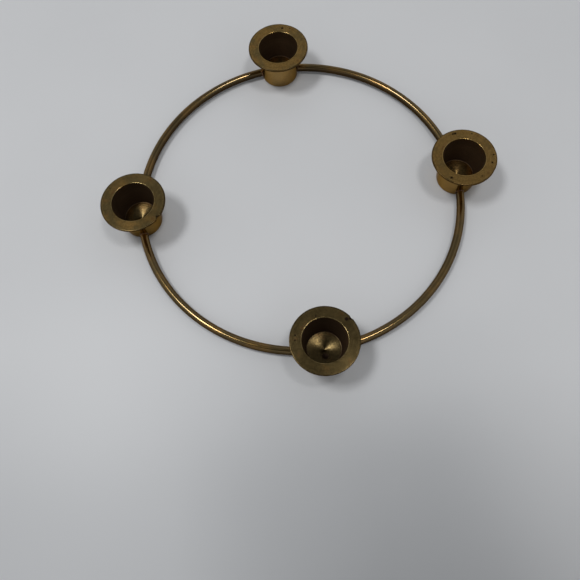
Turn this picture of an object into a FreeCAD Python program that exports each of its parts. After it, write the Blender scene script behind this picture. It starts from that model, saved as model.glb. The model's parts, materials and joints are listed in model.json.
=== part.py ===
# Ring candle holder in brass: a round rod bent into a level ring and cut into four arcs, with a
# turned candle cup brazed between each two arc ends. The cups stand on the table and carry the
# ring just clear of it.
#
# Frame: millimetres, +Z up. The origin is the ring's centre on the table plane. The cups stand on
# the +X (right), +Y (back), -X (left) and -Y (front) axes.
import FreeCAD, Part

import math
import os

import Sketcher

CUP_NAMES = ["right", "back", "left", "front"]
CUP_PITCH = 360 // len(CUP_NAMES)     # degrees round the ring from one cup to the next

doc = FreeCAD.newDocument("RingCandleHolder")


# ---------------------------------------------------------------- driving dimensions

DIMENSIONS = [
    ("ring_radius", 90.0, "centre of the ring to the rod's centreline and to each cup's axis"),
    ("rod_diameter", 4.5, "round rod"),
    ("rod_ground_gap", 1.15, "table to the rod's underside"),
    ("cup_height", 22.0, "table to the flange's top face"),
    ("socket_radius", 11.4, "straight part of the candle socket, for a 22 mm candle"),
    ("socket_land", 5.0, "length of that straight part, below the mouth's chamfer"),
    ("mouth_chamfer", 0.4, "broken edge where the socket meets the flange"),
    ("neck_wall", 1.3, "wall outside the socket, just under the flange"),
    ("flange_overhang", 4.8, "flange's reach beyond the neck"),
    ("flange_thickness", 1.2, "flange plate"),
    ("flange_round", 0.3, "rounded rim of the flange"),
    ("neck_fillet", 1.0, "inside corner between the wall and the flange"),
    ("floor_radius", 9.45, "edge of the socket's floor, where the tapered wall ends"),
    ("floor_edge_thickness", 4.5, "table to the floor's edge"),
    ("floor_centre_thickness", 2.8, "table to the bottom of the floor's cone"),
    ("foot_wall", 1.35, "wall outside the floor's edge, at the foot"),
    ("foot_round", 0.6, "rounded lower edge of the cup"),
    ("braze_thickness", 0.5, "bead of braze on the rod's surface"),
    ("braze_length", 0.7, "how far the bead runs along the rod from the cup's wall"),
]


def make_sheet():
    sheet = doc.addObject("Spreadsheet::Sheet", "Dimensions")
    for row, (alias, value, note) in enumerate(DIMENSIONS, start=1):
        sheet.set(f"A{row}", note)
        sheet.set(f"B{row}", str(value))
        sheet.setAlias(f"B{row}", alias)
    doc.recompute()
    return sheet


SHEET = make_sheet()

# Sizes that follow from the sheet, as expressions that any object may be bound to.
RING = "Dimensions.ring_radius"
ROD_RADIUS = "Dimensions.rod_diameter / 2"
ROD_HEIGHT = f"(Dimensions.rod_ground_gap + {ROD_RADIUS})"
NECK = "(Dimensions.socket_radius + Dimensions.neck_wall)"
FOOT = "(Dimensions.floor_radius + Dimensions.foot_wall)"
FLANGE = f"({NECK} + Dimensions.flange_overhang)"
FLANGE_UNDERSIDE = "(Dimensions.cup_height - Dimensions.flange_thickness)"
LAND_END = "(Dimensions.cup_height - Dimensions.mouth_chamfer - Dimensions.socket_land)"
WALL_AT_ROD = f"({FOOT} + ({NECK} - {FOOT}) * {ROD_HEIGHT} / {FLANGE_UNDERSIDE})"
# Angle at the ring's centre from a cup's axis to the place where the rod meets that cup's wall.
WALL_ANGLE = f"(2 * asin({WALL_AT_ROD} / (2 * {RING})))"
BEAD_ANGLE = f"({WALL_ANGLE} + Dimensions.braze_length / {RING} * 1 rad)"


def value(expression):
    return float(SHEET.evalExpression(expression))


def turn_and_place(item, angle, radius=None, height=None):
    """Turn an object about +Z by an angle in degrees, and bind where it stands."""
    turn = FreeCAD.Rotation(FreeCAD.Vector(0, 0, 1), angle)
    item.Placement = FreeCAD.Placement(FreeCAD.Vector(0, 0, 0), turn)
    if radius:
        item.setExpression("Placement.Base.x", f"{radius} * cos({angle})")
        item.setExpression("Placement.Base.y", f"{radius} * sin({angle})")
    if height:
        item.setExpression("Placement.Base.z", height)


# ---------------------------------------------------------------- candle cup

# Half section of the cup, from the middle of the foot, up the outside and down the socket.
# Each corner is its distance from the axis and its height; None is on the axis or on the table.
CUP_SECTION = [
    (None, None),
    (FOOT, None),
    (NECK, FLANGE_UNDERSIDE),
    (FLANGE, FLANGE_UNDERSIDE),
    (FLANGE, "Dimensions.cup_height"),
    ("Dimensions.socket_radius", "Dimensions.cup_height"),
    ("Dimensions.socket_radius", LAND_END),
    ("Dimensions.floor_radius", "Dimensions.floor_edge_thickness"),
    (None, "Dimensions.floor_centre_thickness"),
]


def origin_plane(body, role):
    return [plane for plane in body.Origin.OriginFeatures if plane.Role == role][0]


def cup_section(body, name):
    sketch = body.newObject("Sketcher::SketchObject", f"{name}_section")
    sketch.AttachmentSupport = [(origin_plane(body, "XZ_Plane"), "")]
    sketch.MapMode = "FlatFace"
    corners = []
    for radius, height in CUP_SECTION:
        x = value(radius) if radius else 0
        y = value(height) if height else 0
        corners.append(FreeCAD.Vector(x, y, 0))
    count = len(corners)
    for index in range(count):
        following = corners[(index + 1) % count]
        sketch.addGeometry(Part.LineSegment(corners[index], following), False)
    for index in range(count):
        sketch.addConstraint(Sketcher.Constraint("Coincident", index, 2, (index + 1) % count, 1))
    for index, (radius, height) in enumerate(CUP_SECTION):
        bind_corner(sketch, index, "X", radius, on_axis=-2)
        bind_corner(sketch, index, "Y", height, on_axis=-1)
    return sketch


def bind_corner(sketch, index, way, expression, on_axis):
    """Hold one coordinate of a line's first point: on the axis, or at a bound distance."""
    if expression is None:
        sketch.addConstraint(Sketcher.Constraint("PointOnObject", index, 1, on_axis))
        return
    distance = Sketcher.Constraint(f"Distance{way}", -1, 1, index, 1, value(expression))
    number = sketch.addConstraint(distance)
    sketch.setExpression(f"Constraints[{number}]", expression)


def circle_edges(feature, wanted):
    """Names of the feature's circular edges with the wanted radii and heights."""
    found = []
    for radius, height in wanted:
        for number, edge in enumerate(feature.Shape.Edges, start=1):
            if not isinstance(edge.Curve, Part.Circle):
                continue
            same_radius = math.isclose(edge.Curve.Radius, value(radius), abs_tol=1e-6)
            if same_radius and math.isclose(edge.Curve.Center.z, value(height), abs_tol=1e-6):
                found.append(f"Edge{number}")
    if len(found) != len(wanted):
        raise RuntimeError(f"{feature.Name}: found {found} of {len(wanted)} edges")
    return found


def dress(body, kind, name, size_name, expression, wanted):
    """Add a fillet or chamfer to the body's last feature, on the circles that are wanted."""
    before = body.Tip
    feature = body.newObject(f"PartDesign::{kind}", name)
    feature.Base = (before, circle_edges(before, wanted))
    feature.setExpression(size_name, expression)
    body.Tip = feature
    doc.recompute()


def candle_cup(position, angle):
    name = f"cup_{position}"
    body = doc.addObject("PartDesign::Body", name)
    body.Label = name
    sketch = cup_section(body, name)
    turned = body.newObject("PartDesign::Revolution", f"{name}_turned")
    turned.Profile = sketch
    turned.ReferenceAxis = (sketch, ["V_Axis"])
    turned.Angle = 360
    body.Tip = turned
    doc.recompute()

    top = "Dimensions.cup_height"
    dress(body, "Chamfer", f"{name}_mouth", "Size", "Dimensions.mouth_chamfer",
          [("Dimensions.socket_radius", top)])
    dress(body, "Fillet", f"{name}_rim", "Radius", "Dimensions.flange_round",
          [(FLANGE, top), (FLANGE, FLANGE_UNDERSIDE)])
    dress(body, "Fillet", f"{name}_neck", "Radius", "Dimensions.neck_fillet",
          [(NECK, FLANGE_UNDERSIDE)])
    dress(body, "Fillet", f"{name}_foot", "Radius", "Dimensions.foot_round",
          [(FOOT, "0")])
    turn_and_place(body, angle, radius=RING)
    return body


# ---------------------------------------------------------------- ring rods

def cup_envelope(position, angle):
    """The cup's tapered outside as a solid, which shapes the rod ends and the beads."""
    cone = doc.addObject("Part::Cone", f"envelope_{position}")
    cone.setExpression("Radius1", FOOT)
    cone.setExpression("Radius2", NECK)
    cone.setExpression("Height", FLANGE_UNDERSIDE)
    turn_and_place(cone, angle, radius=RING)
    return cone


def ring_piece(name, tube_radius, start, span):
    """A piece of the ring's rod, with its own tube radius, from a start angle over a span."""
    piece = doc.addObject("Part::Torus", name)
    piece.Angle1 = -180
    piece.Angle2 = 180
    piece.setExpression("Radius1", RING)
    piece.setExpression("Radius2", tube_radius)
    piece.setExpression("Angle3", span)
    turn_and_place(piece, 0, height=ROD_HEIGHT)
    piece.setExpression("Placement.Rotation.Angle", start)
    return piece


def cut(name, base, tool):
    result = doc.addObject("Part::Cut", name)
    result.Base = base
    result.Tool = tool
    return result


def ring_rod(index, envelopes):
    """One arc, from cup to cup, with each end coped to fit the cup's wall."""
    here = CUP_NAMES[index]
    there = CUP_NAMES[(index + 1) % len(CUP_NAMES)]
    name = f"rod_{here}_to_{there}"
    arc = ring_piece(f"{name}_arc", ROD_RADIUS, f"{index * CUP_PITCH} deg", f"{CUP_PITCH} deg")
    coped = cut(f"{name}_coped", arc, envelopes[here])
    rod = cut(name, coped, envelopes[there])
    rod.Label = name
    return rod


def braze_bead(cup, neighbour, start, rod, envelope):
    """Collar of braze round a rod's end, against the cup's wall."""
    name = f"braze_{cup}_cup_toward_{neighbour}"
    collar = ring_piece(f"{name}_collar", f"{ROD_RADIUS} + Dimensions.braze_thickness",
                        start, BEAD_ANGLE)
    outside = cut(f"{name}_outside", collar, envelope)
    bead = cut(name, outside, rod)
    bead.Label = name
    return bead


# ---------------------------------------------------------------- assembly

def build():
    nodes = []
    envelopes = {}
    for index, position in enumerate(CUP_NAMES):
        nodes.append(candle_cup(position, index * CUP_PITCH))
        envelopes[position] = cup_envelope(position, index * CUP_PITCH)

    rods = [ring_rod(index, envelopes) for index in range(len(CUP_NAMES))]
    nodes.extend(rods)

    for index, cup in enumerate(CUP_NAMES):
        after = CUP_NAMES[(index + 1) % len(CUP_NAMES)]
        before = CUP_NAMES[index - 1]
        angle = index * CUP_PITCH
        nodes.append(braze_bead(cup, after, f"{angle} deg", rods[index], envelopes[cup]))
        nodes.append(braze_bead(cup, before, f"{angle} deg - {BEAD_ANGLE}",
                                rods[index - 1], envelopes[cup]))
    doc.recompute()
    return nodes


def check(nodes):
    for item in doc.Objects:
        if "Invalid" in item.State or "Error" in item.State:
            raise RuntimeError(f"{item.Name} is {item.State}")
    for node in nodes:
        if node.Shape.isNull() or not node.Shape.isValid():
            raise RuntimeError(f"{node.Label} has no valid shape")
        if len(node.Shape.Solids) != 1:
            raise RuntimeError(f"{node.Label} has {len(node.Shape.Solids)} solids")


def export(nodes):
    os.makedirs("parts", exist_ok=True)
    for node in nodes:
        node.Shape.exportStep(f"parts/{node.Label}.step")
        box = node.Shape.BoundBox
        print(f"{node.Label:32s} {node.Shape.Volume:9.2f} mm3"
              f"  x {box.XMin:8.2f} {box.XMax:8.2f}"
              f"  y {box.YMin:8.2f} {box.YMax:8.2f}  z {box.ZMin:6.2f} {box.ZMax:6.2f}")


NODES = build()
check(NODES)
export(NODES)
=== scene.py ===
# %% [markdown]
# # A brass ring candle holder
# The real thing is a table ring for four dinner candles: four turned brass cups, brazed into a ring
# of round rod. Its engineering model is finished already, and is loaded here as a fixed frame that
# says where every part is. This lesson adds what the eye wants: softened edges, casting pits, tool
# marks, aged metal, light and a camera.

# %% The frame
import json
import math
import random

import bmesh
import bpy
from mathutils import Matrix, Vector


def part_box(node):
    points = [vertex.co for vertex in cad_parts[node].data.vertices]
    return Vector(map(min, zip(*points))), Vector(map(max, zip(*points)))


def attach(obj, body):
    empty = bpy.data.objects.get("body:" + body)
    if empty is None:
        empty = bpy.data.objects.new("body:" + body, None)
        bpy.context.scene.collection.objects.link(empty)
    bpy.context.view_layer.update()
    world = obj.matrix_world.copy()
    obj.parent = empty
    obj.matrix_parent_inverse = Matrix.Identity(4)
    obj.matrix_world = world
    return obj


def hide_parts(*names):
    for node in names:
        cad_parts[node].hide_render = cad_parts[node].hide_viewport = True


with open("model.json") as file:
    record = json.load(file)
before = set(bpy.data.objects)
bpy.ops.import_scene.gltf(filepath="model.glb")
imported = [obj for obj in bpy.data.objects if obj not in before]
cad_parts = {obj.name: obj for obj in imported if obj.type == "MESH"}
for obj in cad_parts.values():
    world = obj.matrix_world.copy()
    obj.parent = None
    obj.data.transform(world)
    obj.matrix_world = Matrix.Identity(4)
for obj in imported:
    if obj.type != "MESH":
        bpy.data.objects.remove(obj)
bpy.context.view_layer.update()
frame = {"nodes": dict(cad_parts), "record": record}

scene = bpy.context.scene
MM = 0.001

# %% [markdown]
# ## Sizes
# Sizes could be typed in again here, but then they would drift from the engineering model. So the
# frame gives them where it can: a cup stands where its CAD node stands, and the socket's radius is
# in the record's mounts. Only the small sizes, such as edge rounds and wall thickness, are the
# maker's own, and each is named once.

# %% Sizes and places from the frame
CUPS = ["right", "back", "left", "front"]


def cup_axis(name):
    """The point on the table under a cup's middle."""
    low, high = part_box(f"cup_{name}")
    middle = (low + high) / 2
    return Vector((middle.x, middle.y, 0))


mounts = {mount["name"]: mount for mount in frame["record"]["mounts"]}
socket = mounts["candle_socket_right"]["dims"]
cup_low, cup_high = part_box("cup_right")
rod_low, rod_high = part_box("rod_right_to_back")

RING_RADIUS = cup_axis("right").length
CUP_HEIGHT = cup_high.z
FLANGE_RADIUS = (cup_high.y - cup_low.y) / 2
SOCKET_RADIUS = socket["r_mm"] * MM
SOCKET_LAND = socket["length_mm"] * MM
ROD_RADIUS = (rod_high.z - rod_low.z) / 2
ROD_HEIGHT = (rod_high.z + rod_low.z) / 2
print(f"ring radius {RING_RADIUS / MM:.1f} mm, flange radius {FLANGE_RADIUS / MM:.1f} mm,",
      f"rod {2 * ROD_RADIUS / MM:.2f} mm at {ROD_HEIGHT / MM:.2f} mm")

# %% The maker's own sizes
FLANGE_THICKNESS = 1.2 * MM
NECK_RADIUS = SOCKET_RADIUS + 1.3 * MM
FLOOR_RADIUS = 9.45 * MM
FLOOR_EDGE = 4.5 * MM                  # height of the socket's floor at the wall
FLOOR_CENTRE = 2.8 * MM                # and at the middle
FOOT_RADIUS = FLOOR_RADIUS + 1.35 * MM
RIM_ROUND = 0.35 * MM
LIP_ROUND = 0.3 * MM
NECK_ROUND = 1.0 * MM
FOOT_ROUND = 0.7 * MM
FLOOR_ROUND = 0.6 * MM
FLOOR_DISH = 0.55                      # 0 is a plain cone, 1 is level where it meets the wall
print(f"wall at the neck {(NECK_RADIUS - SOCKET_RADIUS) / MM:.1f} mm,",
      f"at the floor {(FOOT_RADIUS - FLOOR_RADIUS) / MM:.2f} mm")


# %% [markdown]
# ## Node graphs written as expressions
# Materials and Geometry Nodes are both graphs of small steps. They could be wired by hand, one link
# at a time, but a long formula is then hard to read. Here a `Value` wraps one socket, and the usual
# operators on it add Math nodes, so a pattern reads like the formula it is.

# %% A value in a graph
class Value:
    """One number flowing through a graph."""

    def __init__(self, graph, socket):
        self.graph = graph
        self.socket = socket

    def __add__(self, other):
        return self.graph.math("ADD", self, other)

    def __radd__(self, other):
        return self.graph.math("ADD", other, self)

    def __sub__(self, other):
        return self.graph.math("SUBTRACT", self, other)

    def __rsub__(self, other):
        return self.graph.math("SUBTRACT", other, self)

    def __mul__(self, other):
        return self.graph.math("MULTIPLY", self, other)

    def __rmul__(self, other):
        return self.graph.math("MULTIPLY", other, self)

    def __pow__(self, other):
        return self.graph.math("POWER", self, other)


# %% [markdown]
# Every other node comes from `Graph.node`, which takes the node's type, its settings and what its
# sockets hold. The short methods after it are the few nodes that the patterns use again and again.

# %% A graph
class Graph:
    """A node tree that is built by calls."""

    def __init__(self, tree):
        self.tree = tree

    def node(self, kind, settings=None, sockets=None):
        made = self.tree.nodes.new(kind)
        for name, setting in (settings or {}).items():
            if name == "stops":
                self.set_stops(made.color_ramp, setting)
            else:
                setattr(made, name, setting)
        for name, held in (sockets or {}).items():
            self.fill(self.pick(made.inputs, name), held)
        return made

    def pick(self, sockets, name):
        """A socket by its number, or the one in use that has this name."""
        if isinstance(name, int):
            return sockets[name]
        return [each for each in sockets if each.name == name and each.enabled][0]

    def fill(self, into, held):
        """Link a value or a socket, or set a constant."""
        if isinstance(held, Value):
            self.tree.links.new(held.socket, into)
        elif isinstance(held, bpy.types.NodeSocket):
            self.tree.links.new(held, into)
        else:
            into.default_value = held

    def set_stops(self, ramp, stops):
        while len(ramp.elements) < len(stops):
            ramp.elements.new(1)
        for element, (place, colour) in zip(ramp.elements, stops):
            element.position = place
            element.color = (*colour, 1)

    def out(self, made, name):
        return Value(self, self.pick(made.outputs, name))

    def math(self, operation, first, second):
        made = self.node("ShaderNodeMath", {"operation": operation}, {0: first, 1: second})
        return Value(self, made.outputs[0])

    def mix(self, factor, first, second, blend="MIX"):
        """Mix two colours, given as sockets or as red, green and blue."""
        first, second = [(*each, 1) if isinstance(each, tuple) else each
                         for each in (first, second)]
        made = self.node("ShaderNodeMix", {"data_type": "RGBA", "blend_type": blend},
                         {"Factor": factor, "A": first, "B": second})
        return self.out(made, "Result")

    def between(self, value, low, high):
        """0 below low, 1 above high and a smooth rise between."""
        made = self.node("ShaderNodeMapRange", {"interpolation_type": "SMOOTHSTEP"},
                         {"Value": value, "From Min": low, "From Max": high})
        return self.out(made, "Result")

    def noise(self, place, scale, detail=2.0, roughness=0.5):
        made = self.node("ShaderNodeTexNoise", {},
                         {"Vector": place, "Scale": scale, "Detail": detail,
                          "Roughness": roughness})
        return self.out(made, "Fac")

    def vector(self, x, y, z):
        made = self.node("ShaderNodeCombineXYZ", {}, {"X": x, "Y": y, "Z": z})
        return self.out(made, "Vector")

    def split(self, vector):
        made = self.node("ShaderNodeSeparateXYZ", {}, {"Vector": vector})
        return [self.out(made, axis) for axis in "XYZ"]

    def object_place(self):
        """Where a point is in the object, which is where it is in the room, in metres."""
        return self.out(self.node("ShaderNodeTexCoord"), "Object")

    def attribute(self, name):
        made = self.node("ShaderNodeAttribute", {"attribute_name": name})
        return self.out(made, "Fac")


# %% [markdown]
# ## Aged brass
# Lacquer-free brass goes brown and olive where it is left alone, stays yellow where it is handled,
# and is darkest in pits. Inside the sockets and down the rods' flanks it is painted darker, as
# painted shade. One flat colour would look like paint. So one recipe serves the cups and the rods: a
# tone from slow noise and freckles from fast noise. Noise scales count features to the metre, so a
# scale of 95 gives patches about 10 mm across.

# %% Colours and the parts every finish shares
OLIVE = (0.220, 0.160, 0.066)
GOLD = (0.370, 0.228, 0.074)
RUSSET = (0.285, 0.140, 0.054)
POLISHED = (0.62, 0.47, 0.23)
BODY_GOLD = (0.385, 0.245, 0.094)
# The next colour darkens specks and pits as dirt, and the rim's edge and the floor's corner as
# painted shade.
DARK_DIRT_AND_SHADE = (0.020, 0.012, 0.008)
# The next two colours are painted shade for the dark inside of a deep socket: on its wall and on its
# floor.
SOCKET_SHADE_TONE = (0.125, 0.076, 0.048)
FLOOR_SHADE_TONE = (0.019, 0.013, 0.0065)
DULL_BROWN = (0.07, 0.045, 0.025)
# Painted shade for the rods' lower flanks.
FLANK_SHADE = (0.034, 0.021, 0.012)
EDGE_TINT = (0.62, 0.50, 0.38, 1.0)    # brass seen at a glancing angle

DRIFT_SCALE = 95.0
BLOOM_SCALE = 210.0
FRECKLE_SCALE = 1400.0


def new_material(name):
    material = bpy.data.materials.new(name)
    material.use_nodes = True
    material.node_tree.nodes.clear()
    return material, Graph(material.node_tree)


def finish_material(graph, colour, roughness, bump_height, bump_distance, constants):
    """End a material: bump, the Principled shader and the output."""
    bump = graph.node("ShaderNodeBump", {}, {"Strength": 1.0, "Distance": bump_distance,
                                             "Height": bump_height})
    shader = graph.node("ShaderNodeBsdfPrincipled", {},
                        {"Base Color": colour, "Roughness": roughness,
                         "Normal": graph.out(bump, "Normal"), **constants})
    output = graph.node("ShaderNodeOutputMaterial")
    graph.tree.links.new(shader.outputs["BSDF"], output.inputs["Surface"])


def brass_tones(graph, place, golden, freckling):
    """Slow drift between olive and gold, with russet blooms and fine freckles."""
    drift = graph.noise(place, DRIFT_SCALE, 3.0, 0.6)
    bloom = graph.noise(place, BLOOM_SCALE, 4.0, 0.65)
    freckle = graph.noise(place, FRECKLE_SCALE, 3.0, 0.7)
    tone = graph.mix(graph.between(drift + golden, 0.38, 0.66), OLIVE, GOLD)
    tone = graph.mix(graph.between(bloom, 0.56, 0.74) * 0.75, tone, RUSSET)
    shade = graph.mix(graph.between(freckle, 0.35, 0.7), (0.62, 0.60, 0.56), (1.12, 1.12, 1.12))
    return graph.mix(freckling, tone, shade, "MULTIPLY"), drift, bloom, freckle


print("brass from olive", OLIVE, "to gold", GOLD)


# %% [markdown]
# ## Turned brass for the cups
# A lathe tool leaves fine rings. They could be cut into the mesh, but they are finer than any
# sensible mesh, so they are noise that changes only with the distance from the cup's axis and with
# height, fed to the bump. The masks on the mesh, made further down, then put each mark where it
# belongs: painted shade down the socket, on the rim's edge and in the floor's corner, dirt in the
# pits, a rubbed lip.

# %% Turned brass
FINE_RING_SCALE = 5200.0
COARSE_RING_SCALE = 1500.0
SPECK_SCALE = 1150.0
RING_DEPTH = 0.011 * MM


def cup_brass(name, axis, golden):
    """Cast brass turned on a lathe, centred on the cup's own axis."""
    material, graph = new_material(name)
    centred = graph.node("ShaderNodeMapping", {}, {"Vector": graph.object_place(),
                                                   "Location": -axis})
    place = graph.out(centred, "Vector")
    x, y, z = graph.split(place)
    from_axis = (x * x + y * y) ** 0.5

    colour, drift, bloom, freckle = brass_tones(graph, place, golden, 1.0)
    ring = graph.vector(from_axis, z, 0.0)
    fine_rings = graph.noise(ring, FINE_RING_SCALE, 2.0, 0.7)
    coarse_rings = graph.noise(ring, COARSE_RING_SCALE, 2.0, 0.6)
    ring_shade = graph.mix(graph.between(coarse_rings, 0.3, 0.7), (0.74, 0.72, 0.70),
                           (1.10, 1.10, 1.10))
    colour = graph.mix(0.8, colour, ring_shade, "MULTIPLY")

    grime = graph.attribute("grime")
    wear = graph.attribute("wear")
    soot = graph.attribute("soot")
    body = graph.attribute("body")
    coned = graph.attribute("coned")
    specks = graph.between(graph.noise(place, SPECK_SCALE, 1.0), 0.72, 0.78)
    colour = graph.mix(specks * 0.7, colour, DARK_DIRT_AND_SHADE)
    colour = graph.mix(body * (0.55 + golden), colour, BODY_GOLD)
    colour = graph.mix(wear * 0.35 * graph.between(bloom, 0.35, 0.6), colour, POLISHED)
    # Painted shade down the socket, darkest on the coned floor, lighter in a few flecks there.
    shade_tone = graph.mix(coned, SOCKET_SHADE_TONE, FLOOR_SHADE_TONE)
    lighter_flecks = 0.16 * coned * graph.between(freckle, 0.42, 0.62)
    colour = graph.mix(soot * (0.70 + 0.35 * drift) - lighter_flecks, colour, shade_tone)
    # Dirt in the pits and chips, and painted shade on the rim's edge and in the floor's corner.
    colour = graph.mix(grime, colour, DARK_DIRT_AND_SHADE)

    roughness = 0.15 + 0.12 * bloom + 0.38 * soot - 0.33 * coned - 0.03 * body + 0.12 * grime
    grooves = fine_rings * 0.55 + coarse_rings * 0.35
    grain = grooves * (0.35 + coned - 0.15 * body) + 2.6 * coarse_rings * coned + freckle * 0.15
    finish_material(graph, colour, roughness, grain, RING_DEPTH,
                    {"Metallic": 1.0, "Specular Tint": EDGE_TINT,
                     "Anisotropic": 0.3, "Anisotropic Rotation": 0.25})
    return material


print(f"turned rings {RING_DEPTH / MM:.3f} mm deep")


# %% [markdown]
# ## Drawn brass for the rods
# Rod is pulled through a die, so its marks run lengthwise. Scratches could be painted on, but a
# stretched noise does the same for any length of rod. The pattern's place is the point's distance
# along the ring, shrunk until a streak is far longer than it is wide, and its place across the rod.
# The rods are painted darker brown down their flanks, a painted shade for the dark table and the
# shadow under them that the flanks reflect, and keep their shine on top, where a thin clear coat
# sharpens the highlight.

# %% Drawn brass
STREAK_SHRINK = 0.006
STREAK_SCALE = 2600.0
BROAD_SCALE = 700.0
DULL_SCALE = 300.0
STREAK_DEPTH = 0.006 * MM
ROD_GOLDEN = -0.03


def rod_brass(name):
    material, graph = new_material(name)
    place = graph.object_place()
    x, y, z = graph.split(place)
    across = (x * x + y * y) ** 0.5 - RING_RADIUS
    along = graph.math("ARCTAN2", y, x) * RING_RADIUS
    streak_place = graph.vector(along * STREAK_SHRINK, across, z)
    streaks = graph.noise(streak_place, STREAK_SCALE, 3.0, 0.65)
    broad = graph.noise(streak_place, BROAD_SCALE, 2.0, 0.5)

    colour, _, bloom, _ = brass_tones(graph, place, ROD_GOLDEN, 0.35)
    streak_shade = graph.mix(graph.between(streaks, 0.36, 0.66), (0.48, 0.43, 0.38),
                             (0.96, 0.92, 0.85))
    colour = graph.mix(0.9, colour, streak_shade, "MULTIPLY")
    dull = graph.between(graph.noise(place, DULL_SCALE, 2.0, 0.6), 0.72, 0.80)
    colour = graph.mix(dull * 0.7, colour, DULL_BROWN)
    # Painted shade: the lower flanks are darkened for the dark table and the shadow under the rod
    # that they reflect.
    shaded_flank = 1 - graph.between(z, ROD_HEIGHT + 0.20 * ROD_RADIUS, ROD_HEIGHT + 0.95 * ROD_RADIUS)
    colour = graph.mix(shaded_flank * 0.94, colour, FLANK_SHADE)

    roughness = 0.12 + 0.10 * broad + 0.06 * bloom + 0.2 * dull
    finish_material(graph, colour, roughness, streaks * 0.7 + broad * 0.3, STREAK_DEPTH,
                    {"Metallic": 1.0, "Specular Tint": EDGE_TINT,
                     "Coat Weight": 0.45 * (1 - shaded_flank), "Coat Roughness": 0.10})
    return material


print(f"one streak is about {1 / (STREAK_SCALE * STREAK_SHRINK) / MM:.0f} mm long")


# %% [markdown]
# ## Braze metal
# Filler metal that has run and frozen is darker than the brass, browned by the torch, with flux left
# in its skin. Two noises are enough for something this small: blots for the colour, grit for the
# dullness, and both for the bump.

# %% Braze metal
BLOT_SCALE = 900.0
GRIT_SCALE = 4200.0
GRIT_DEPTH = 0.06 * MM


def braze_metal(name):
    material, graph = new_material(name)
    place = graph.object_place()
    blot = graph.noise(place, BLOT_SCALE, 4.0, 0.7)
    grit = graph.noise(place, GRIT_SCALE, 3.0, 0.7)
    colour = graph.mix(graph.between(blot, 0.35, 0.65), (0.075, 0.038, 0.026),
                       (0.21, 0.115, 0.055))
    roughness = 0.36 + 0.3 * grit
    finish_material(graph, colour, roughness, grit + 0.6 * blot, GRIT_DEPTH, {"Metallic": 0.85})
    return material


print(f"braze grit {1 / GRIT_SCALE / MM:.2f} mm across")


# %% [markdown]
# ## The cups
# A candle cup is a half section spun about its axis, on the lathe as in the mesh. A Screw modifier
# would spin it too. Spinning it in code leaves each vertex's place on the section known, so the
# blemishes can be pressed into the metal afterwards. The section is written as straight runs and
# round corners.

# %% Runs and corners
def run(start, end, steps):
    """Points after start, on a straight run to end."""
    spread = [step / steps for step in range(1, steps + 1)]
    return [(start[0] + (end[0] - start[0]) * t, start[1] + (end[1] - start[1]) * t)
            for t in spread]


def corner(centre, radius, start, end, steps):
    """Points after the start angle, on an arc to the end angle, in degrees."""
    angles = [math.radians(start + (end - start) * step / steps) for step in range(1, steps + 1)]
    return [(centre[0] + radius * math.cos(a), centre[1] + radius * math.sin(a))
            for a in angles]


def dished(start, end, steps):
    """Points after start, in to the axis, steep at the middle and flatter towards the wall."""
    spread = [1 - step / steps for step in range(1, steps + 1)]
    rise = start[1] - end[1]
    return [(start[0] * t, end[1] + rise * (t * (1 + FLOOR_DISH) - FLOOR_DISH * t * t))
            for t in spread]


# %% The half section
def cup_section():
    """Distance from the axis and height, from the foot's middle round to the floor's middle."""
    underside = CUP_HEIGHT - FLANGE_THICKNESS
    points = [(0.0, 0.0)]
    points += run(points[-1], (FOOT_RADIUS - FOOT_ROUND, 0.0), 8)
    points += corner((FOOT_RADIUS - FOOT_ROUND, FOOT_ROUND), FOOT_ROUND, -90, 0, 5)
    points += run(points[-1], (NECK_RADIUS, underside - NECK_ROUND), 16)
    points += corner((NECK_RADIUS + NECK_ROUND, underside - NECK_ROUND), NECK_ROUND, 180, 90, 5)
    points += run(points[-1], (FLANGE_RADIUS - RIM_ROUND, underside), 8)
    points += corner((FLANGE_RADIUS - RIM_ROUND, underside + RIM_ROUND), RIM_ROUND, -90, 0, 4)
    points += run(points[-1], (FLANGE_RADIUS, CUP_HEIGHT - RIM_ROUND), 2)
    points += corner((FLANGE_RADIUS - RIM_ROUND, CUP_HEIGHT - RIM_ROUND), RIM_ROUND, 0, 90, 4)
    points += run(points[-1], (SOCKET_RADIUS + LIP_ROUND, CUP_HEIGHT), 22)
    points += corner((SOCKET_RADIUS + LIP_ROUND, CUP_HEIGHT - LIP_ROUND), LIP_ROUND, 90, 180, 4)
    points += run(points[-1], (SOCKET_RADIUS, CUP_HEIGHT - LIP_ROUND - SOCKET_LAND), 8)
    points += run(points[-1], (FLOOR_RADIUS, FLOOR_EDGE + FLOOR_ROUND), 14)
    points += corner((FLOOR_RADIUS - FLOOR_ROUND, FLOOR_EDGE + FLOOR_ROUND), FLOOR_ROUND,
                     0, -85, 4)
    points += dished(points[-1], (0.0, FLOOR_CENTRE), 26)
    return points


SECTION = cup_section()
LIP_POINT = max(number for number, (distance, height) in enumerate(SECTION)
                if math.isclose(height, CUP_HEIGHT))
BODY_END = min(number for number, (distance, height) in enumerate(SECTION)
               if distance > NECK_RADIUS + NECK_ROUND / 2)
print(f"the half section has {len(SECTION)} points: the outside wall ends at point {BODY_END}",
      f"and the flange's face at point {LIP_POINT}")


# %% [markdown]
# ## Blemishes
# Blemishes are what make an old casting look cast. Random ones would do from afar, but the eye knows
# a cup by its own few marks, so they are listed one by one. A pit is an angle in degrees, a distance
# from the axis and a width in millimetres. A chip is a bite out of the rim: an angle, a depth and a
# width. Both move the vertices a little and darken them.

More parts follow.
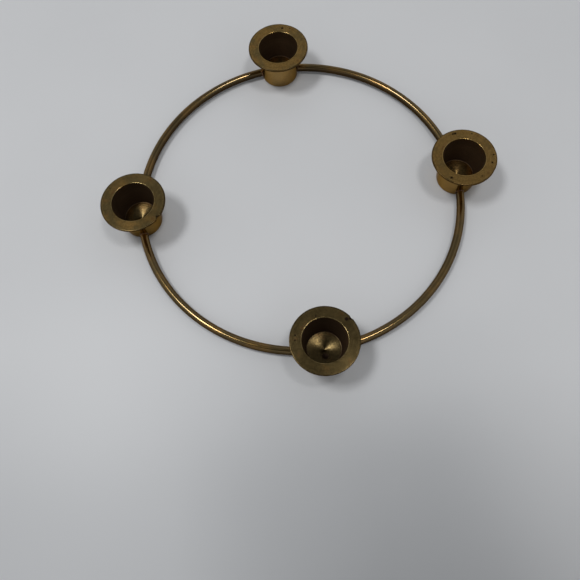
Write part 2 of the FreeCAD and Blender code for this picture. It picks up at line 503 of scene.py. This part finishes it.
# %% Pits and chips
PITS = {
    "right": [(96, 15.3, 1.1), (101, 15.3, 0.9), (62, 15.5, 0.6), (-4, 15.7, 0.7), (-23, 14.9, 0.9),
              (-130, 15.1, 1.1), (-64, 14.5, 0.6), (18, 16.0, 0.5)],
    "back": [(73, 14.3, 1.1), (56, 15.7, 0.6)],
    "left": [(-41, 16.6, 1.0), (140, 15.6, 0.5)],
    "front": [(37, 15.1, 1.8), (33, 16.7, 1.4), (102, 12.9, 0.7), (162, 14.7, 0.9),
              (172, 14.5, 0.8), (-148, 16.4, 0.5)],
}
CHIPS = {
    "right": [(-38, 0.12, 2.4)],
    "back": [],
    "left": [(-41, 0.7, 2.4), (-66, 0.35, 1.3)],
    "front": [(33, 0.3, 1.6), (-25, 0.1, 1.6)],
}
FLOOR_PIT = {"front": (-90, 3.6, 2.9)}     # one shallow mark in a coned floor
PIT_DEPTH = 0.02                       # as a share of the pit's width
FLOOR_PIT_DEPTH = 0.08
PIT_SKIRT = 2                          # pit radii, past which the metal is untouched
CHIP_REACH = 2.4 * MM                  # how far in from the rim a chip may pull


def dent(point, spot, depth_share):
    """Press a round pit into a face; returns how deep inside the pit the point is, 0 to 1."""
    angle, distance, width = spot
    middle = Vector((math.cos(math.radians(angle)), math.sin(math.radians(angle)))) * distance * MM
    away = (Vector((point.x, point.y)) - middle).length / (width * MM / 2)
    if away > PIT_SKIRT:
        return 0.0
    inside = math.exp(-away * away * 1.4)
    point.z -= inside * width * MM * depth_share
    return min(1.0, 4 * inside)


def bite(point, chips, distance):
    """Draw the rim in where a chip is missing; returns how deep inside the chip, 0 to 1."""
    dark = 0.0
    angle = math.degrees(math.atan2(point.y, point.x))
    for at, depth, width in chips:
        off = (angle - at + 180) % 360 - 180
        arc = math.radians(off) * distance / (width * MM / 2)
        reach = max(0.0, (distance - FLANGE_RADIUS + CHIP_REACH) / CHIP_REACH)
        missing = math.exp(-arc ** 4) * reach ** 2
        point.xy *= 1 - missing * depth * MM / distance
        dark = max(dark, missing * min(1.0, 2 * depth))
    return dark


print("pits:", {cup: len(spots) for cup, spots in PITS.items()},
      "chips:", {cup: len(spots) for cup, spots in CHIPS.items()})


# %% [markdown]
# ## Masks
# A material can't know what a lip or a corner is. It could guess from height, but the section knows
# exactly, so five masks travel with the mesh as attributes: one for dirt in the pits and painted
# shade on the rim's edge and in the floor's corner, `wear` on the lip, one for painted shade down the
# socket, and `body` and `coned`, which tell the outside wall and the floor from the rest. `wear` and
# the pit and edge mask fade out as a bell curve does.

# %% Wear, dirt and painted shade
LIP_INSET = 0.12 * MM                  # the most worn line, inside the lip's round
LIP_WEAR_WIDTH = 0.28 * MM
CORNER_INSET = 0.1 * MM
CORNER_SHADE_WIDTH = 0.55 * MM
RIM_SHADE_START = 0.18 * MM            # in from the rim, where its painted shade begins to fade
RIM_SHADE_WIDTH = 0.22 * MM
FLOOR_SHADE_SHARE = 0.95
WALL_SHADE_SHARE = 0.85                       # at the socket's mouth, rising to 1 at its foot


def bell(distance, width):
    return math.exp(-(distance / width) ** 2)


def edge_wear(distance, height):
    """1 on the lip, which candles rub bright, fading within half a millimetre."""
    lip = math.hypot(distance - SOCKET_RADIUS - LIP_INSET, height - CUP_HEIGHT + LIP_INSET)
    return bell(lip, LIP_WEAR_WIDTH)


def rim_and_corner_shade(number, distance, height):
    """Partly settled dirt, partly painted shade: a dark line on the flange's outer edge and in the
    floor's corner.
    """
    if number > LIP_POINT:
        from_corner = math.hypot(distance - FLOOR_RADIUS + CORNER_INSET,
                                 height - FLOOR_EDGE - CORNER_INSET)
        return 0.85 * bell(from_corner, CORNER_SHADE_WIDTH)
    from_rim = max(0.0, FLANGE_RADIUS - RIM_SHADE_START - distance)
    return 0.75 * bell(from_rim, RIM_SHADE_WIDTH)


def socket_shade_share(number, distance, height):
    """How much painted shade darkens the socket: 0 outside, rising to 1 down the wall, and less on
    the coned floor.
    """
    if number < LIP_POINT or height > CUP_HEIGHT - 1.1 * LIP_ROUND:
        return 0.0
    if distance < FLOOR_RADIUS - 0.2 * MM:
        return FLOOR_SHADE_SHARE
    depth = (CUP_HEIGHT - height) / (CUP_HEIGHT - FLOOR_EDGE)
    return min(1.0, WALL_SHADE_SHARE + (1 - WALL_SHADE_SHARE) * depth)


for title, height in (("mouth", CUP_HEIGHT - LIP_ROUND * 2), ("foot", FLOOR_EDGE + FLOOR_ROUND)):
    print(f"soot at the socket's {title}: {socket_shade_share(LIP_POINT + 1, SOCKET_RADIUS, height):.2f}")


# %% [markdown]
# ## Spinning
# Each ring of vertices is one point of the section, 360 to a ring, so that a chip one millimetre
# wide still has a few vertices across it. The two ends of the section are single vertices on the
# axis, so the skin is closed, and its normals are worked out again afterwards, because a spin can
# turn a shape inside out.

# %% A closed skin
def skin(name, vertices, faces, masks=None):
    """A smooth closed mesh object with its normals outwards and its masks as attributes."""
    mesh = bpy.data.meshes.new(name)
    mesh.from_pydata(vertices, [], faces)
    for mask, values in (masks or {}).items():
        layer = mesh.attributes.new(mask, "FLOAT", "POINT")
        layer.data.foreach_set("value", values)
    shape = bmesh.new()
    shape.from_mesh(mesh)
    bmesh.ops.recalc_face_normals(shape, faces=shape.faces)
    shape.to_mesh(mesh)
    shape.free()
    mesh.polygons.foreach_set("use_smooth", [True] * len(mesh.polygons))
    piece = bpy.data.objects.new(name, mesh)
    scene.collection.objects.link(piece)
    return piece


# %% Spin a cup
SPOKES = 360
WAVE = 0.05 * MM                       # how far the rim strays from round


def spin_faces(rings):
    """Faces between neighbouring rings, with a fan at each end of the section."""
    last = 1 + rings * SPOKES
    top = last - SPOKES
    faces = []
    for spoke in range(SPOKES):
        after = (spoke + 1) % SPOKES
        faces.append((0, 1 + after, 1 + spoke))
        faces.append((last, top + spoke, top + after))
        for ring in range(rings - 1):
            low = 1 + ring * SPOKES
            high = low + SPOKES
            faces.append((low + spoke, low + after, high + after, high + spoke))
    return faces


def spin_cup(name):
    axis = cup_axis(name)
    phase = random.Random(f"edge of the {name} cup").uniform(0, math.tau)
    vertices = []
    masks = {"grime": [], "wear": [], "soot": [], "body": [], "coned": []}

    def add(distance, height, turn, number):
        point = Vector((distance * math.cos(turn), distance * math.sin(turn), height))
        grime = rim_and_corner_shade(number, distance, height)
        on_face = height > CUP_HEIGHT - 0.02 * MM
        if on_face and distance > SOCKET_RADIUS + LIP_ROUND:
            for spot in PITS[name]:
                grime = max(grime, dent(point, spot, PIT_DEPTH))
        if number > LIP_POINT and distance < FLOOR_RADIUS and name in FLOOR_PIT:
            grime = max(grime, dent(point, FLOOR_PIT[name], FLOOR_PIT_DEPTH))
        if distance > FLANGE_RADIUS - CHIP_REACH:
            grime = max(grime, bite(point, CHIPS[name], distance))
            sway = 0.5 + 0.3 * math.sin(3 * turn + phase) + 0.2 * math.sin(7 * turn - phase)
            point.xy *= 1 - WAVE * sway / distance
        vertices.append(point + axis)
        masks["grime"].append(grime)
        masks["wear"].append(edge_wear(distance, height))
        masks["soot"].append(socket_shade_share(number, distance, height))
        masks["body"].append(float(number < BODY_END))
        masks["coned"].append(float(number > LIP_POINT and distance < FLOOR_RADIUS - 0.4 * MM))

    add(*SECTION[0], 0.0, 0)
    for number, (distance, height) in enumerate(SECTION[1:-1], start=1):
        for spoke in range(SPOKES):
            add(distance, height, math.tau * spoke / SPOKES, number)
    add(*SECTION[-1], 0.0, len(SECTION) - 1)
    return skin(f"cup_{name}_turned", vertices, spin_faces(len(SECTION) - 2), masks)


# %% [markdown]
# ## Four cups that have aged apart
# The cups were made alike, but on a real ring each goes its own way: one stays golden, another turns
# olive. They could share one material, and then all would match. Here each has its own, with its own
# share of gold, centred on its own axis so that the turned rings run round it. Each piece then hides
# the CAD node it stands in for and is attached to the body it rides on.

# %% Make the four cups
# The front cup's low share of gold is partly its own duller tone and partly painted shade, for the
# dark camera and hands that its flange reflects.
GOLDEN = {"right": 0.14, "back": 0.05, "left": -0.05, "front": -0.20}
for cup in CUPS:
    piece = spin_cup(cup)
    piece.data.materials.append(cup_brass(f"turned_brass_{cup}", cup_axis(cup), GOLDEN[cup]))
    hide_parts(f"cup_{cup}")
    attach(piece, "root")
    print(f"{piece.name}: {len(piece.data.vertices)} vertices")


# %% [markdown]
# ## Running Geometry Nodes from a script
# Geometry Nodes suit what follows a path or repeats, and this object has both: the rods and the
# braze beads. A tree is built like a material, with named inputs for its sizes. `grow` sets those
# inputs by their identifiers, lets Blender work the tree out once, and keeps the result as a plain
# mesh, so that nothing live is left on the piece.

# %% Start, end and run a tree
def geometry_tree(name, inputs):
    """An empty Geometry Nodes tree with named inputs; returns its graph and input values."""
    tree = bpy.data.node_groups.new(name, "GeometryNodeTree")
    tree.interface.new_socket("Geometry", in_out="OUTPUT", socket_type="NodeSocketGeometry")
    for title, kind in inputs:
        tree.interface.new_socket(title, in_out="INPUT", socket_type=kind)
    graph = Graph(tree)
    entry = graph.node("NodeGroupInput")
    return graph, {title: graph.out(entry, title) for title, kind in inputs}


def end_tree(graph, geometry, material):
    """Realize, set the material and send the geometry out."""
    real = graph.node("GeometryNodeRealizeInstances", {}, {"Geometry": geometry})
    smooth = graph.node("GeometryNodeSetShadeSmooth", {},
                        {"Geometry": graph.out(real, "Geometry")})
    painted = graph.node("GeometryNodeSetMaterial", {},
                         {"Geometry": graph.out(smooth, "Geometry"), "Material": material})
    graph.node("NodeGroupOutput", {}, {"Geometry": graph.out(painted, "Geometry")})
    return graph.tree


def grow(name, tree, settings):
    """Run a tree, and return the result as a plain mesh object."""
    host = bpy.data.objects.new(f"{name}_host", bpy.data.meshes.new("start"))
    scene.collection.objects.link(host)
    modifier = host.modifiers.new("grow", "NODES")
    modifier.node_group = tree
    for item in tree.interface.items_tree:
        if item.in_out == "INPUT":
            modifier[item.identifier] = settings[item.name]
    bpy.context.view_layer.update()
    evaluated = host.evaluated_get(bpy.context.evaluated_depsgraph_get())
    mesh = bpy.data.meshes.new_from_object(evaluated)
    bpy.data.objects.remove(host)
    mesh.name = name
    piece = bpy.data.objects.new(name, mesh)
    scene.collection.objects.link(piece)
    return piece


# %% [markdown]
# ## The ring's rods
# The ring is four arcs of round rod, each ending at a cup's wall. A torus would be too perfect:
# drawn rod that has been bent by hand is never quite even. So the tree draws an arc, sweeps a circle
# along it, then pushes each point along its normal by a slow noise. The four rods are the same tree
# with a different start and seed. Each runs half a millimetre into the cups' walls, which hides its
# ends.

# %% The rod tree
ROD_STEPS = 220
ROD_SIDES = 40
WOBBLE_SCALE = 45.0
WOBBLE_MIDDLE = 0.62                   # above the noise's own middle, so the push is mostly inwards


def rod_tree():
    graph, given = geometry_tree("bent_rod", [
        ("Ring radius", "NodeSocketFloat"), ("Rod radius", "NodeSocketFloat"),
        ("Height", "NodeSocketFloat"), ("Start", "NodeSocketFloat"),
        ("Sweep", "NodeSocketFloat"), ("Unevenness", "NodeSocketFloat"),
        ("Seed", "NodeSocketFloat"), ("Material", "NodeSocketMaterial")])
    arc = graph.node("GeometryNodeCurveArc", {"mode": "RADIUS"},
                     {"Resolution": ROD_STEPS, "Radius": given["Ring radius"],
                      "Start Angle": given["Start"], "Sweep Angle": given["Sweep"]})
    section = graph.node("GeometryNodeCurvePrimitiveCircle", {"mode": "RADIUS"},
                         {"Resolution": ROD_SIDES, "Radius": given["Rod radius"]})
    tube = graph.node("GeometryNodeCurveToMesh", {},
                      {"Curve": graph.out(arc, "Curve"),
                       "Profile Curve": graph.out(section, "Curve"), "Fill Caps": True})
    lift = graph.node("GeometryNodeTransform", {},
                      {"Geometry": graph.out(tube, "Mesh"),
                       "Translation": graph.vector(0.0, 0.0, given["Height"])})
    position = graph.node("GeometryNodeInputPosition")
    wobble = graph.node("ShaderNodeTexNoise", {"noise_dimensions": "4D"},
                        {"Vector": graph.out(position, "Position"), "W": given["Seed"],
                         "Scale": WOBBLE_SCALE, "Detail": 0.0})
    push = (graph.out(wobble, "Fac") - WOBBLE_MIDDLE) * given["Unevenness"]
    normal = graph.node("GeometryNodeInputNormal")
    offset = graph.node("ShaderNodeVectorMath", {"operation": "SCALE"},
                        {"Vector": graph.out(normal, "Normal"), "Scale": push})
    moved = graph.node("GeometryNodeSetPosition", {},
                       {"Geometry": graph.out(lift, "Geometry"),
                        "Offset": graph.out(offset, "Vector")})
    return end_tree(graph, graph.out(moved, "Geometry"), given["Material"])


# %% Bend the four rods
QUARTER = math.tau / len(CUPS)
ROD_SINK = 0.5 * MM
ROD_UNEVENNESS = 0.12 * MM
FIRST_SEED = 3


def wall_radius(height):
    """Outside radius of a cup's tapered wall."""
    share = height / (CUP_HEIGHT - FLANGE_THICKNESS)
    return FOOT_RADIUS + (NECK_RADIUS - FOOT_RADIUS) * share


def angle_at(distance_from_cup):
    """Angle round the ring from a cup's axis to a point of the rod that far from the axis."""
    return 2 * math.asin(distance_from_cup / (2 * RING_RADIUS))


bent_rod = rod_tree()
drawn_brass = rod_brass("drawn_brass")
rod_end = angle_at(wall_radius(ROD_HEIGHT) - ROD_SINK)
for index, cup in enumerate(CUPS):
    following = CUPS[(index + 1) % len(CUPS)]
    name = f"rod_{cup}_to_{following}"
    piece = grow(f"{name}_drawn", bent_rod, {
        "Ring radius": RING_RADIUS, "Rod radius": ROD_RADIUS, "Height": ROD_HEIGHT,
        "Start": index * QUARTER + rod_end, "Sweep": QUARTER - 2 * rod_end,
        "Unevenness": ROD_UNEVENNESS, "Seed": float(index + FIRST_SEED), "Material": drawn_brass})
    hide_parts(name)
    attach(piece, "root")
    print(f"{piece.name}: {len(piece.data.vertices)} vertices")


# %% [markdown]
# ## The braze
# Melted filler climbs both metals and freezes as a hollow fillet round the rod. A torus would sit
# wrong against the curved wall, so each point is worked out: a rise above the rod's skin and a
# distance from the wall, and the angle round the ring where both hold. The two beads of one cup are
# made once, as a closed loop that is buried in both metals.

# %% One cup's pair of beads
BEAD_RISE = 0.24 * MM
BEAD_RUN = 0.42 * MM
BEAD_ROOT = -0.25 * MM                 # how far the bead is buried in the rod and the wall
BEAD_HEEL = 0.05 * MM
BEAD_ROUND = 64
BEAD_STEPS = 8


def bead_section(swell):
    """Rise above the rod and distance from the wall: a hollow arc, closed inside the metals."""
    turns = [math.pi / 2 * step / BEAD_STEPS for step in range(BEAD_STEPS + 1)]
    points = [(BEAD_RISE * swell * (1 - math.sin(turn)), BEAD_RUN * swell * (1 - math.cos(turn)))
              for turn in turns]
    buried = [(BEAD_ROOT, points[-1][1] + BEAD_HEEL), (BEAD_ROOT, BEAD_ROOT),
              (points[0][0], BEAD_ROOT)]
    return points + buried


def bead_point(rise, away, turn, side):
    """The point that far above the rod's skin and that far from the cup's wall."""
    tube = ROD_RADIUS + rise
    out = RING_RADIUS + tube * math.cos(turn)
    height = ROD_HEIGHT + tube * math.sin(turn)
    reach = wall_radius(height) + away
    cosine = (out ** 2 + RING_RADIUS ** 2 - reach ** 2) / (2 * out * RING_RADIUS)
    angle = side * math.acos(min(1.0, cosine))
    return Vector((out * math.cos(angle), out * math.sin(angle), height))


def bead_pair():
    vertices = []
    faces = []
    for side in (-1, 1):
        start = len(vertices)
        for step in range(BEAD_ROUND):
            turn = math.tau * step / BEAD_ROUND
            swell = 1 + 0.22 * math.sin(2 * turn + side) + 0.12 * math.sin(5 * turn - side)
            section = bead_section(swell)
            vertices += [bead_point(rise, away, turn, side) for rise, away in section]
        size = len(section)
        for step in range(BEAD_ROUND):
            here = start + step * size
            there = start + (step + 1) % BEAD_ROUND * size
            for point in range(size):
                after = (point + 1) % size
                faces.append((here + point, here + after, there + after, there + point))
    return skin("bead_pair", vertices, faces)


# %% [markdown]
# The pair could be copied in a loop. A small tree does it instead, because this is what instances
# are for: it sets the pair down at every cup, turned a quarter each time, and makes one mesh of them.

# %% Set the pair down at every cup
def around_tree():
    graph, given = geometry_tree("around_the_ring", [
        ("Pair", "NodeSocketObject"), ("Count", "NodeSocketInt"), ("Turn", "NodeSocketFloat"),
        ("Material", "NodeSocketMaterial")])
    pair = graph.node("GeometryNodeObjectInfo", {}, {"Object": given["Pair"]})
    places = graph.node("GeometryNodeMeshLine", {"mode": "OFFSET"},
                        {"Count": given["Count"], "Offset": (0, 0, 0)})
    index = graph.node("GeometryNodeInputIndex")
    turn = graph.out(index, "Index") * given["Turn"]
    copies = graph.node("GeometryNodeInstanceOnPoints", {},
                        {"Points": graph.out(places, "Mesh"),
                         "Instance": graph.out(pair, "Geometry"),
                         "Rotation": graph.vector(0.0, 0.0, turn)})
    return end_tree(graph, graph.out(copies, "Instances"), given["Material"])


pair = bead_pair()
beads = grow("braze_beads", around_tree(), {
    "Pair": pair, "Count": len(CUPS), "Turn": QUARTER, "Material": braze_metal("braze")})
bpy.data.objects.remove(pair)
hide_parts(*[node for node in frame["nodes"] if node.startswith("braze_")])
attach(beads, "root")
print(f"{beads.name}: {len(beads.data.vertices)} vertices")


# %% [markdown]
# ## The camera
# It looks down steeply, a little from the left, with a slight roll, as a hand-held camera does. Its
# lens is the ordinary wide-to-normal one of a small camera, close enough for the near cup to show
# its floor and the far cup its side. The three turns are kept apart, so each can be read by itself.

# %% Camera
CAMERA_PLACE = Vector((-0.01725, -0.15972, 0.29237))
CAMERA_PITCH = math.radians(70.12)     # how far the view dips below level
CAMERA_YAW = math.radians(-2.29)
CAMERA_ROLL = math.radians(-5.70)
camera = bpy.data.objects.new("camera", bpy.data.cameras.new("camera"))
camera.data.lens = 35.69
camera.data.sensor_width = 36.0
camera.data.clip_start = 0.01
aim = (Matrix.Rotation(CAMERA_YAW, 4, "Z") @ Matrix.Rotation(math.pi / 2 - CAMERA_PITCH, 4, "X")
       @ Matrix.Rotation(CAMERA_ROLL, 4, "Z"))
camera.matrix_world = Matrix.Translation(CAMERA_PLACE) @ aim
scene.collection.objects.link(camera)
scene.camera = camera
print(f"camera {CAMERA_PLACE.z / MM:.0f} mm up, lens {camera.data.lens:.1f} mm")


# %% [markdown]
# ## The table
# A pale, faintly cloudy, half-matt top. It is one large face, so that its edge stays far away in low
# views. The cloud is kept weak: it only stops the table from looking computed.

# %% Table
FLOOR_HALF = 3.0
TABLE_CLOUD_SCALE = 9.0
TABLE_GRAIN = 0.1 * MM


def flat_card(name, centre, half_x, half_y):
    """A level rectangle that faces up."""
    mesh = bpy.data.meshes.new(name)
    mesh.from_pydata([centre + Vector((x * half_x, y * half_y, 0))
                      for x, y in ((-1, -1), (1, -1), (1, 1), (-1, 1))], [], [(0, 1, 2, 3)])
    item = bpy.data.objects.new(name, mesh)
    scene.collection.objects.link(item)
    return item


floor = flat_card("floor", Vector((0, 0, 0)), FLOOR_HALF, FLOOR_HALF)
pale, graph = new_material("pale_table")
cloud = graph.noise(graph.object_place(), TABLE_CLOUD_SCALE, 3.0)
tone = graph.mix(cloud, (0.64, 0.645, 0.655), (0.70, 0.705, 0.715))
finish_material(graph, tone, 0.34 + 0.1 * cloud, cloud, TABLE_GRAIN, {"Specular IOR Level": 0.35})
floor.data.materials.append(pale)
print(f"table {2 * FLOOR_HALF:.0f} m across")

# %% [markdown]
# ## The card over the camera
# A dark card hangs where the camera and the hands that hold it would be. The near side of the table
# could be dimmed by hand, but a card does it as a person would: it isn't seen itself, its soft shadow
# falls on the table, and it keeps the near cup's flange brown.

# %% Card
CARD_SIZE = Vector((0.30, 0.18))
CARD_PLACE = CAMERA_PLACE + Vector((0.0, -0.04, 0.035))
WEAVE_SCALE = 800.0
card = flat_card("camera_card", CARD_PLACE, CARD_SIZE.x / 2, CARD_SIZE.y / 2)
card.visible_camera = False
dark, graph = new_material("dark_card")
weave = graph.noise(graph.object_place(), WEAVE_SCALE)
finish_material(graph, graph.mix(weave, (0.02, 0.02, 0.02), (0.035, 0.035, 0.035)),
                0.7 + 0.2 * weave, weave, TABLE_GRAIN, {})
card.data.materials.append(dark)
print(f"card {CARD_SIZE.x / MM:.0f} x {CARD_SIZE.y / MM:.0f} mm")

# %% [markdown]
# ## Lamps and room
# Brass shows what is around it, so the room matters as much as the metal. Two soft lamps hang high
# above, one each side of overhead, and draw the thin bright lines on the rods, the lips and the
# coned floors. The room is dark straight overhead, which leaves the level flanges brown, and lighter
# at mid height, which lights the cups' walls. A picture of a real room would do this too, but a
# plain ramp by height can be read and changed.

# %% Lamps
def lamp(name, place, size, power, colour):
    """A soft box that points at the middle of the ring."""
    data = bpy.data.lights.new(name, "AREA")
    data.shape = "RECTANGLE"
    data.size, data.size_y = size
    data.energy = power
    data.color = colour
    item = bpy.data.objects.new(name, data)
    item.location = place
    item.rotation_euler = (-Vector(place)).to_track_quat("-Z", "Y").to_euler()
    scene.collection.objects.link(item)
    print(f"{name}: {power} W")


lamp("left_softbox", (-0.50, 0.07, 1.20), (0.34, 0.24), 5.1, (0.98, 0.99, 1.0))
lamp("right_softbox", (0.27, -0.13, 1.27), (0.26, 0.20), 2.9, (1.0, 0.99, 0.98))

# %% Room
ROOM_LIGHT = [(0.0, (0.22, 0.224, 0.23)), (0.45, (0.46, 0.47, 0.48)), (0.78, (0.40, 0.41, 0.42)),
              (0.93, (0.13, 0.133, 0.137)), (1.0, (0.08, 0.082, 0.085))]    # level to overhead
room = bpy.data.worlds.new("room")
room.use_nodes = True
room.node_tree.nodes.clear()
graph = Graph(room.node_tree)
toward = graph.split(graph.out(graph.node("ShaderNodeTexCoord"), "Generated"))
wall = graph.node("ShaderNodeValToRGB", {"stops": ROOM_LIGHT}, {"Fac": toward[2]})
background = graph.node("ShaderNodeBackground", {}, {"Color": wall.outputs["Color"],
                                                     "Strength": 1.0})
output = graph.node("ShaderNodeOutputWorld")
graph.tree.links.new(background.outputs["Background"], output.inputs["Surface"])
scene.world = room
scene.view_settings.view_transform = "Standard"
print(f"room light in {len(ROOM_LIGHT)} steps, from level to overhead")
